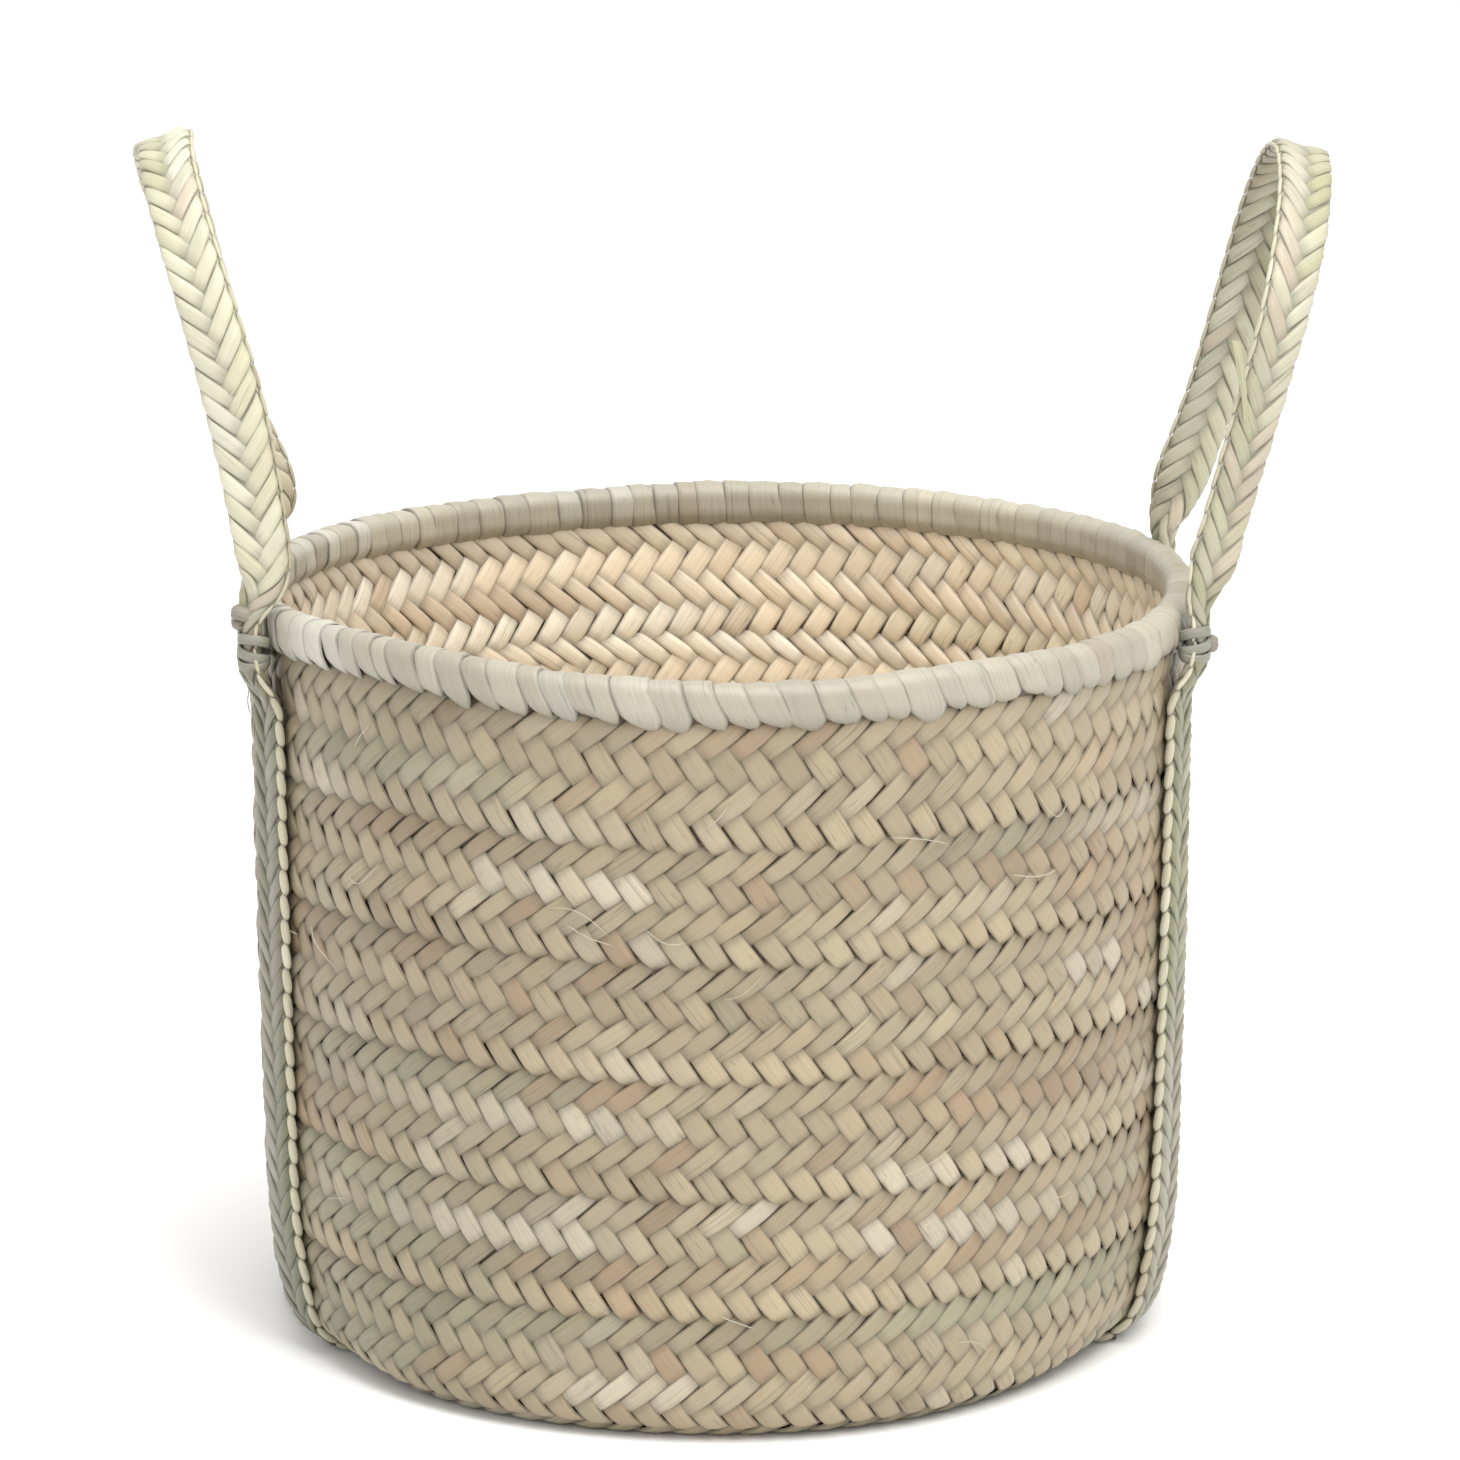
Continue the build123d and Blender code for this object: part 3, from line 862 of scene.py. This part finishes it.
def band_line(side, samples):
    """Evenly spaced centre points and frame of a whole band, front base edge to rear one.

    The frame turns from facing out of the wall to facing along the loop's outward side."""
    points, level, lean = half_band(side)
    rear = points[::-1][1:] * np.array([1, -1, 1])
    rear_share = smooth(level[::-1][1:] / (50 * mm)) * np.clip(rear[:, 1] / leg_spacing, 0, 1)
    rear[:, 0] += rear_shift[side] * rear_share
    line = np.concatenate([points, rear])
    level = np.concatenate([level, level[::-1][1:]])
    lean = np.concatenate([lean, lean[::-1][1:]])
    for _ in range(6):
        line[1:-1] = 0.25 * line[:-2] + 0.5 * line[1:-1] + 0.25 * line[2:]
    length = np.concatenate([[0], np.cumsum(np.linalg.norm(np.diff(line, axis=0), axis=1))])
    place = np.linspace(0, length[-1], samples)
    line = np.stack([np.interp(place, length, line[:, k]) for k in range(3)], axis=-1)
    level = np.interp(place, length, level)
    lean = np.interp(place, length, lean)
    front = np.where(np.arange(samples) < samples // 2, -1.0, 1.0)
    tangent = np.gradient(line, axis=0)
    tangent /= np.linalg.norm(tangent, axis=1, keepdims=True)
    twist = smooth((level + 10 * mm) / (26 * mm))
    width_azimuth = -front * (math.pi / 2 - strap_azimuth) * (1 - twist)
    width_way = np.stack([
        np.cos(width_azimuth) * np.cos(lean),
        np.sin(width_azimuth),
        -np.sin(lean) * np.ones(samples),
    ], axis=-1)
    width_way -= tangent * np.sum(width_way * tangent, axis=1, keepdims=True)
    width_way /= np.linalg.norm(width_way, axis=1, keepdims=True)
    normal = np.cross(width_way, tangent)
    share = smooth((level + 4 * mm) / (30 * mm)) * (1 - smooth((level - 80 * mm) / (70 * mm)))
    extra = (front_turn[side] * share * np.where(front < 0, 1.0, -0.3))[:, None]
    width_way, normal = (
        width_way * np.cos(extra) - normal * np.sin(extra),
        normal * np.cos(extra) + width_way * np.sin(extra),
    )
    pinch = smooth((level + 30 * mm) / (18 * mm)) * (1 - smooth((level + 6 * mm) / (26 * mm)))
    on_strap = 1 - smooth((level + 30 * mm) / (30 * mm))
    full = 10.3 * mm * on_strap + 9.3 * mm * (1 - on_strap)
    flat = 2.0 * mm * on_strap + 2.3 * mm * (1 - on_strap)
    full = full * (1 + 0.05 * np.sin(place / (23 * mm)) * smooth(level / (20 * mm)))
    at_base = smooth((34 * mm - line[:, 2]) / (34 * mm))
    half_width = full * (1 - pinch) + 5.4 * mm * pinch - 1.4 * mm * at_base
    half_thick = flat * (1 - pinch) + 2.9 * mm * pinch
    return dict(line=line, tangent=tangent, width=width_way, normal=normal, level=level,
                half_width=half_width, half_thick=half_thick, place=place, length=length[-1])


def read_band(band, s, values):
    """Values known at the band's evenly spaced places, read at distances s along it."""
    if values.ndim == 1:
        return np.interp(s, band["place"], values)
    return np.stack([np.interp(s, band["place"], values[:, k]) for k in range(3)], axis=-1)


def band_point(band, s, w, n):
    """Point at distance s along the band's line, w across its width and n off its face."""
    line, width, normal = (read_band(band, s, band[key]) for key in ("line", "width", "normal"))
    return line + width * w[..., None] + normal * n[..., None]


def on_band(band, s, c, lift):
    """Points on the band's skin: s is the distance along it, c the share of the way round its
    flat-oval cut from the inner edge over the front face, and lift the height above it."""
    half_width = read_band(band, s, band["half_width"])
    half_thick = read_band(band, s, band["half_thick"])
    flat = 2 * (half_width - half_thick)
    bow = math.pi * half_thick
    way = np.mod(c, 1.0) * 2 * (flat + bow)
    part = [way - bow / 2, way - bow / 2 - flat, way - 1.5 * bow - flat, way - 1.5 * bow - 2 * flat]
    turned = np.where(part[0] < 0, way / half_thick, np.where(
        part[1] < 0, math.pi / 2, np.where(
            part[2] < 0, math.pi / 2 + part[1] / half_thick, np.where(
                part[3] < 0, 1.5 * math.pi, 1.5 * math.pi + part[3] / half_thick))))
    base_w = np.where(part[0] < 0, -flat / 2, np.where(
        part[1] < 0, -flat / 2 + part[0], np.where(
            part[2] < 0, flat / 2, np.where(part[3] < 0, flat / 2 - part[2], -flat / 2))))
    w = base_w - (half_thick + lift) * np.cos(turned)
    n = (half_thick + lift) * np.sin(turned)
    return band_point(band, s, w, n)


band_along = np.array([-0.08, 0.0, 0.09, 0.2, 0.34, 0.5, 0.66, 0.8, 0.91, 1.0, 1.07])
band_pitch = 8.2 * mm
arm_reach = 12.5 * mm


def weave_band(sheet, band, seed, shade=1.0, strap_shade=0.76):
    """Strip pieces wound round the flat tube in four columns, two on each face. Every piece
    runs aslant from a folded edge to the middle of its face, where it ends against a piece
    from the other edge, so that each face shows a row of Vs."""
    random = np.random.default_rng(seed)
    count = int(band["length"] / band_pitch)
    pitch = band["length"] / count
    t = band_along[None, :, None, None]
    w = across_steps[None, None, :, None]
    cut = pitch / (2 * arm_reach)
    for column, (edge, middle, phase) in enumerate([(0, 2, 0.0), (4, 2, 0.5), (4, 6, 0.0), (8, 6, 0.5)]):
        way = 1 if middle > edge else -1
        x = (np.arange(count) + phase) * pitch
        start = np.stack([x + arm_reach, np.full(count, edge - way * cut)], axis=-1)
        stop = np.stack([x, np.full(count, middle - way * cut)], axis=-1)
        over = np.array([0.5 * pitch, 2 * way * cut])
        shake = random.normal(0, 1, (4, count, 2)) * np.array([0.3 * mm, 0.04])
        near = (1 - t) * (start + shake[0])[:, None, None] + t * (stop + shake[1])[:, None, None]
        far = (1 - t) * (start + over + shake[2])[:, None, None] + t * (stop + over + shake[3])[:, None, None]
        places = (1 - w) * near + w * far
        tt, ww = t[..., 0], w[..., 0]
        lift = 0.75 * mm * (np.sin(math.pi * np.clip(tt, 0, 1) ** 0.9) - 0.55)
        lift = lift + np.where((tt < 0) | (tt > 1), -0.5 * mm, 0)
        lift = lift - 0.28 * mm * np.abs(2 * ww - 1) ** 2 - 0.25 * mm * np.abs(2 * ww - 1) ** 7
        lift = lift + np.where((ww < 0) | (ww > 1), -0.35 * mm, 0)
        lift = lift + random.normal(0, 0.10 * mm, (count, 1, 1)) * (2 * ww - 1)
        lift = lift + random.normal(0, 0.08 * mm, (count, 1, 1))
        s = np.clip(places[..., 0], 0, band["length"])
        points = uneven(on_band(band, s, places[..., 1] / 8, lift))
        on_wall = 1 - smooth((np.interp(x, band["place"], band["level"]) + 30 * mm) / (40 * mm))
        tints = patch_tints(count, random, 0.0, 0.0, 0.12)
        # painted shade: the whole band dimmed by shade, and the straps lying on the wall dimmed further by
        # strap_shade
        tints[..., 3] *= shade * (1 - (1 - strap_shade) * on_wall[:, None, None])
        tints[..., 2] += 0.22 * on_wall[:, None, None]
        tt = tt + np.zeros((count, 1, len(across_steps)))
        ww = ww + np.zeros((count, len(band_along), 1))
        spot = random.uniform(0, 50, (count, 1, 1, 2))
        grain = np.stack([tt * 1.6, ww * 0.55], axis=-1) + spot
        sheet.add(points, grain, np.stack([tt, ww], axis=-1), tints, flip=(way > 0))


def band_core(sheet, band):
    """Closed tube inside the band, just under its strips, darkened as painted shade of the gaps."""
    s = np.linspace(0, band["length"], 400)[:, None]
    c = np.linspace(0, 1, 25)[None, :]
    c = np.where(c == 1, 0, c)
    s, c = np.broadcast_arrays(s, c)
    points = uneven(on_band(band, s, c, np.full(s.shape, -0.75 * mm)))
    # painted shade: the core's tint darkens it
    sheet.add(points[None], np.zeros(2), np.full(2, 0.5), np.array([0.5, 0.4, 0.4, 0.6]), flip=False)


def mirrored(points):
    """Points of the right-hand side carried over to the left."""
    return points * np.array([-1, 1, 1])


def flip_sheet(sheet):
    """Turn a right-hand sheet into a left-hand one, with its faces still outwards."""
    sheet.points = [mirrored(points) for points in sheet.points]
    sheet.quads = [quads[:, ::-1] for quads in sheet.quads]


print("leg length above the bend:", round(leg_length, 4))

# %% [markdown]
# ## Sewing strands on the band's edge
# A pale strand runs along the edge of the folded plait that faces the front and the back of
# the basket, and goes on round the inner edge of the handle. It is a chain of short slanting
# stitches, one to every pair of strips.

# %% Stitches along an edge
def stitches(sheet, band, seed):
    """Short rounded stitches in a row: each is a spindle, thick in the middle and pointed at
    both ends, a little slanted, so that it lies over the start of the next."""
    random = np.random.default_rng(seed)
    count = int(band["length"] / band_pitch)
    middle = (np.arange(count) + 0.5) * band["length"] / count
    level = np.interp(middle, band["place"], band["level"])
    strap = 1 - smooth((level + 40 * mm) / (24 * mm))
    size = (0.75 + 0.45 * strap) * mm
    u = np.linspace(-1, 1, 11)[None, :, None]
    around = np.linspace(0, 2 * math.pi, 9)[None, None, :]
    around = np.where(around == around.max(), 0, around)
    body = np.sqrt(np.clip(1 - np.abs(u) ** 2.6, 0, 1)) * size[:, None, None]
    s = middle[:, None, None] + u * 0.56 * band_pitch + 0 * around
    s = np.clip(s, 0, band["length"])
    half_width = read_band(band, s, band["half_width"])
    slant = u * 0.5 * size[:, None, None]
    lift = 0.45 * size[:, None, None] * (strap[:, None, None] + 0.55)
    w = -half_width - lift + body * np.cos(around) * 0.95
    n = slant + body * np.sin(around) * (1.0 + 0.25 * strap[:, None, None])
    points = band_point(band, s, w, n)
    spot = random.uniform(0, 50, (count, 1, 1, 2))
    uu = u + 0 * around + np.zeros((count, 1, 1))
    aa = around + 0 * u + np.zeros((count, 1, 1))
    grain = np.stack([uu * 0.4, aa * 0.1], axis=-1) + spot
    place = np.stack([0.5 + 0.47 * uu, np.full(uu.shape, 0.5)], axis=-1)
    tints = patch_tints(count, random, seed, -0.1, -0.1)
    sheet.add(uneven(points), grain, place, tints, flip=False)


for side in ("left", "right"):
    band = band_line(side, 900)
    plait, edging = Sheet(), Sheet()
    # painted shade: the right band darker than the left, and the straps on the wall darker, the left ones
    # most
    if side == "left":
        weave_band(plait, band, 51, 0.98, 0.41)
    else:
        weave_band(plait, band, 52, 0.76, 0.68)
    band_core(plait, band)
    stitches(edging, band, 61 if side == "left" else 62)
    if side == "left":
        flip_sheet(plait)
        flip_sheet(edging)
    straps = [f"strap_{side}_front", f"strap_{side}_rear", f"handle_{side}"]
    edges = [f"strap_edging_{side}_front", f"strap_edging_{side}_rear", f"handle_seam_{side}"]
    for sheet, name, material, slot, stands_for in (
        (plait, f"{side}_band_plait", band_leaf, "strap_plait", straps),
        (edging, f"{side}_band_edging", strand_leaf, "sewing_strand", edges),
    ):
        piece = sheet.build(name, material)
        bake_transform(piece)
        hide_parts(*stands_for)

# %% [markdown]
# ## Straps under the base
# The straps of one side go on under the base to the other side, so that the load hangs in
# two slings. They are the same folded plait, seen only when the basket is lifted.

# %% Weave the two runs under the base
for place, side_y in (("front", -1), ("rear", 1)):
    start_x = corner_center[0] * math.cos(strap_azimuth)
    at_y = side_y * corner_center[0] * math.sin(strap_azimuth)
    samples = 160
    xs = np.linspace(-start_x - 6 * mm, start_x + 6 * mm, samples)
    line = np.stack([xs, np.full(samples, at_y), np.full(samples, 2.15 * mm)], axis=-1)
    run_band = dict(
        line=line,
        tangent=np.tile([1.0, 0, 0], (samples, 1)),
        width=np.tile([0, 1.0, 0], (samples, 1)),
        normal=np.tile([0, 0, -1.0], (samples, 1)),
        level=np.full(samples, -1.0),
        half_width=np.full(samples, 8.6 * mm),
        half_thick=np.full(samples, 1.7 * mm),
        place=np.linspace(0, xs[-1] - xs[0], samples),
        length=xs[-1] - xs[0],
    )
    run_sheet = Sheet()
    weave_band(run_sheet, run_band, 71 + side_y)
    band_core(run_sheet, run_band)
    place_piece(run_sheet, f"base_run_{place}", band_leaf, "strap_plait", f"base_strap_{place}")

# %% [markdown]
# ## Lashings and knots
# Just under the rim each neck is bound to the wall by a few turns of strand, and the strand's
# ends are tied off in a small knot on the outside.

# %% Lash the necks
def strand_tube(sheet, path, across, thick, tint, random, closed=True):
    """Strand of flat-oval cut along a path: the cut's directions come from the path's own
    turning, and a closed path joins its ends."""
    ahead = np.roll(path, -1, axis=0) - np.roll(path, 1, axis=0)
    if not closed:
        ahead = np.gradient(path, axis=0)
    ahead /= np.linalg.norm(ahead, axis=1, keepdims=True)
    centre = path.mean(axis=0)
    outward = path - centre
    outward -= ahead * np.sum(outward * ahead, axis=1, keepdims=True)
    outward /= np.linalg.norm(outward, axis=1, keepdims=True) + 1e-9
    side = np.cross(ahead, outward)
    around = np.linspace(0, 2 * math.pi, 9)
    taper = np.ones(len(path))
    if not closed:
        taper = np.clip(np.minimum(np.arange(len(path)), np.arange(len(path))[::-1]) / 2.0, 0, 1)
    ring = (
        path[:, None]
        + outward[:, None] * (np.cos(around) * thick)[None, :, None] * taper[:, None, None]
        + side[:, None] * (np.sin(around) * across)[None, :, None] * taper[:, None, None]
    )
    if closed:
        ring = np.concatenate([ring, ring[:1]])
    spot = random.uniform(0, 50, 2)
    grain = np.stack(np.meshgrid(np.arange(ring.shape[0]) * 0.1, around * 0.1, indexing="ij"), axis=-1) + spot
    sheet.add(uneven(ring)[None], grain[None], np.full(2, 0.5), np.array(tint), flip=False)


lashing_loops = 3
lashing_bottom = 233.5 * mm
lashing_step = 3.2 * mm


def lashing_piece(side, place, seed):
    """Turns of strand round one neck and a small knot outside it, a trefoil curve. The left
    front knot is larger and sits higher than the others."""
    random = np.random.default_rng(seed)
    sheet = Sheet()
    turn = np.linspace(0, 2 * math.pi, 41)[:-1]
    neck_centre = np.array([bend_x - 1.0 * mm, -leg_spacing, 0])
    for loop in range(lashing_loops):
        height = lashing_bottom + loop * lashing_step
        around_neck = np.stack([
            4.9 * mm * np.sign(np.cos(turn)) * np.abs(np.cos(turn)) ** 0.7,
            6.1 * mm * np.sign(np.sin(turn)) * np.abs(np.sin(turn)) ** 0.7,
            height + 1.6 * mm * np.sin(turn + 1.3 * loop) + 0.4 * mm * random.normal(),
        ], axis=-1)
        tone = (random.uniform(0.3, 0.6), 0.5, 0.8, 0.68)
        strand_tube(sheet, around_neck + neck_centre, 1.7 * mm, 0.4 * mm, tone, random)
    size, knot_out, knot_height = 1.15 * mm, 4.2 * mm, 236.5 * mm
    if side == "left" and place == "front":
        size, knot_out, knot_height = 2.6 * mm, 2.4 * mm, 248.0 * mm
    knot_turn = np.linspace(0, 2 * math.pi, 73)[:-1]
    knot = np.stack([
        0.9 * np.sin(3 * knot_turn),
        np.sin(knot_turn) + 1.1 * np.sin(2 * knot_turn),
        np.cos(knot_turn) - 1.1 * np.cos(2 * knot_turn),
    ], axis=-1) * size * 0.75 * np.array([1.35, 0.85, 0.8])
    knot_centre = np.array([bend_x + knot_out, -leg_spacing, knot_height])
    strand_tube(sheet, knot + knot_centre, 2.5 * mm, 1.5 * mm, (0.35, 0.35, 0.4, 0.68), random)
    if place == "rear":
        sheet.points = [points * np.array([1, -1, 1]) for points in sheet.points]
        sheet.quads = [quads[:, ::-1] for quads in sheet.quads]
    if side == "left":
        flip_sheet(sheet)
    return sheet


corners = [("left", "front"), ("left", "rear"), ("right", "front"), ("right", "rear")]
for number, (side, place) in enumerate(corners):
    binding = lashing_piece(side, place, 80 + number)
    name = f"lashing_strand_{side}_{place}"
    place_piece(binding, name, rim_leaf, "rim_leaf", f"lashing_{side}_{place}")

# %% [markdown]
# ## Loose fibres
# Dry leaf splits. A few fine threads lift off the wall, and one strip end hangs loose on the
# right-hand handle, as on any basket that has been carried about.

# %% Threads and one loose end
def thread(sheet, run, angle, length, slope_way, lift, random, width=0.16):
    """A hair-thin tube, width millimetres in half-thickness, that leaves the wall, bows
    outwards and comes back near it."""
    u = np.linspace(0, 1, 15)
    runs = run + length * slope_way * u + 0.12 * length * np.sin(math.pi * u) * random.normal()
    angles = angle + length / wall_top_radius * math.sqrt(max(0.05, 1 - slope_way ** 2)) * u
    rise = 0.6 * mm + lift * np.sin(math.pi * u) ** 1.3
    radius, level = wall_path(runs, rise)
    path = np.stack([radius * np.cos(angles), radius * np.sin(angles), level], axis=-1)
    strand_tube(sheet, path, width * mm, width * mm, (0.7, 0.7, 0.2, 0.95), random, closed=False)


threads = Sheet()
thread_random = np.random.default_rng(11)
for _ in range(34):
    thread(
        threads,
        thread_random.uniform(8, 205) * mm,
        thread_random.uniform(0, 2 * math.pi),
        thread_random.uniform(8, 26) * mm,
        thread_random.uniform(-0.8, 0.8),
        thread_random.uniform(0.5, 2.6) * mm,
        thread_random,
        thread_random.uniform(0.10, 0.22),
    )
for run_mm, angle_deg, long_mm, lift_mm in (
    (62, -112, 22, 1.2),
    (66, -110, 17, 1.6),
    (30, -52, 16, 1.8),
    (190, -92, 12, 1.4),
    (206, -62, 14, 1.2),
):
    place_round = math.radians(angle_deg)
    thread(threads, run_mm * mm, place_round, long_mm * mm, 0.35, lift_mm * mm, thread_random, 0.15)
place_piece(threads, "loose_fibres", strand_leaf, "wall_plait")

# %% The loose strip end on the right-hand handle
right_band = band_line("right", 900)
loose_u = np.linspace(0, 1, 13)
loose_level = (84 - 24 * loose_u) * mm
front_half = np.arange(900) < 450
loose_s = np.interp(loose_level, right_band["level"][front_half], right_band["place"][front_half])
loose_across = np.linspace(-1, 1, 5)
loose_width = (2.0 * mm * (1 - 0.55 * loose_u))[:, None] * loose_across[None, :]
loose_lift = (0.4 + 1.2 * np.sin(math.pi * loose_u) - 1.5 * (1 - loose_u)) * mm


loose_side = (-19.0 + 12.5 * loose_u) * mm
loose_foot = read_band(right_band, loose_s, right_band["line"])
loose_normal_way = read_band(right_band, loose_s, right_band["normal"])
loose_width_way = read_band(right_band, loose_s, right_band["width"])
loose_line = (
    loose_foot
    + loose_normal_way * (2.6 * mm + loose_lift)[:, None]
    + loose_width_way * loose_side[:, None]
)
loose_points = loose_line[:, None] + loose_width_way[:, None] * loose_width[..., None]
loose_curl = (0.25 * mm * loose_across ** 2)[None, :, None]
loose_points = loose_points - loose_normal_way[:, None] * loose_curl
loose_sheet = Sheet()
loose_maps = np.stack(np.meshgrid(loose_u * 3.0, loose_across * 0.2, indexing="ij"), axis=-1) + 7
loose_place = np.stack(np.meshgrid(0.5 + 0 * loose_u, 0.5 + 0.4 * loose_across, indexing="ij"), axis=-1)
loose_tint = np.array([0.55, 0.50, 0.75, 0.82])
for lift, turned in ((0.0, True), (-0.25 * mm, False)):
    skin = uneven(loose_points + loose_normal_way[:, None] * lift)
    loose_sheet.add(skin[None], loose_maps[None], loose_place[None], loose_tint, flip=turned)
loose_piece = loose_sheet.build("loose_strip_end", band_leaf)
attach(loose_piece, "right_handle")

# %% [markdown]
# ## Floor and light
# A seamless pale floor and wide soft lights leave only the plait's own small shadows.

# %% Studio
floor_mesh = bpy.data.meshes.new("floor")
floor_mesh.from_pydata([(-8, -8, 0), (8, -8, 0), (8, 8, 0), (-8, 8, 0)], [], [(0, 1, 2, 3)])
floor = bpy.data.objects.new("floor", floor_mesh)
bpy.context.scene.collection.objects.link(floor)
floor_material = bpy.data.materials.new("floor")
floor_material.use_nodes = True
floor_shader = floor_material.node_tree.nodes["Principled BSDF"]
floor_shader.inputs["Base Color"].default_value = (0.97, 0.97, 0.97, 1)
floor_shader.inputs["Roughness"].default_value = 0.9
floor_shader.inputs["Specular IOR Level"].default_value = 0.1
floor_mesh.materials.append(floor_material)

world = bpy.data.worlds.new("studio")
world.use_nodes = True
world.node_tree.nodes["Background"].inputs["Color"].default_value = (1.0, 1.0, 1.0, 1)
world.node_tree.nodes["Background"].inputs["Strength"].default_value = 1.0
bpy.context.scene.world = world
bpy.context.scene.view_settings.view_transform = "Standard"
bpy.context.scene.view_settings.look = "None"


def soft_light(name, place, target, size, power, color=(1, 1, 1)):
    """Square area light at a place, turned towards a target."""
    light = bpy.data.lights.new(name, "AREA")
    light.size = size
    light.energy = power
    light.color = color
    lamp = bpy.data.objects.new(name, light)
    way = np.array(target) - np.array(place)
    flat = math.hypot(way[0], way[1])
    lamp.location = place
    lamp.rotation_euler = (math.atan2(flat, -way[2]), 0, math.atan2(way[1], way[0]) - math.pi / 2)
    bpy.context.scene.collection.objects.link(lamp)
    return lamp


soft_light("key", (0.75, -1.5, 2.1), (0, 0, 0.2), 1.0, 25, (1.0, 0.99, 0.975))
soft_light("top", (0.1, -0.35, 1.9), (0, 0.05, 0.1), 1.3, 20)
